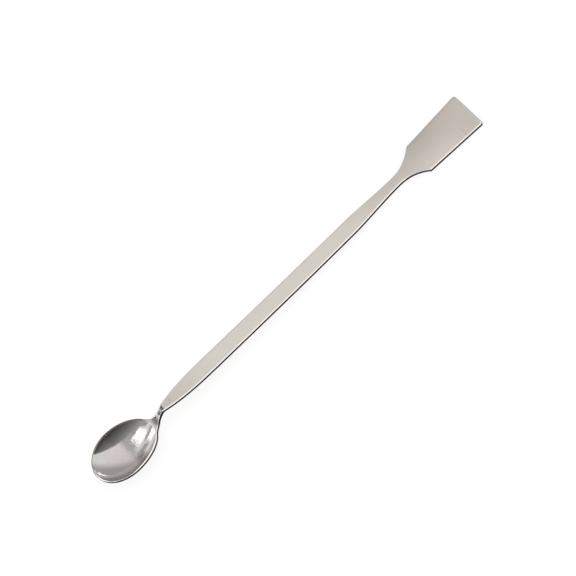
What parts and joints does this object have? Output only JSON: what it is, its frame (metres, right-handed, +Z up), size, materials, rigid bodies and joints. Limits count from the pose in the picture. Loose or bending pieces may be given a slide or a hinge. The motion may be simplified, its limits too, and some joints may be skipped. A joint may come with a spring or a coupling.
{
  "type": "double-ended lab spatula",
  "caption": "Slim steel laboratory spatula with an oval spoon bowl at one end and a flat flared blade at the other, pressed from one strip.",
  "frame": {"origin": "on the surface the spatula lies on, under the middle of its length and width", "axes": "+X along the strip from the bowl to the blade, +Z up, out of the bowl's hollow"},
  "size_m": [0.2, 0.021, 0.0085],
  "materials": {
    "steel": "satin handle and blade, polished bowl"
  },
  "bodies": {
    "root": {"spatula": "steel"}
  },
  "joints": []
}
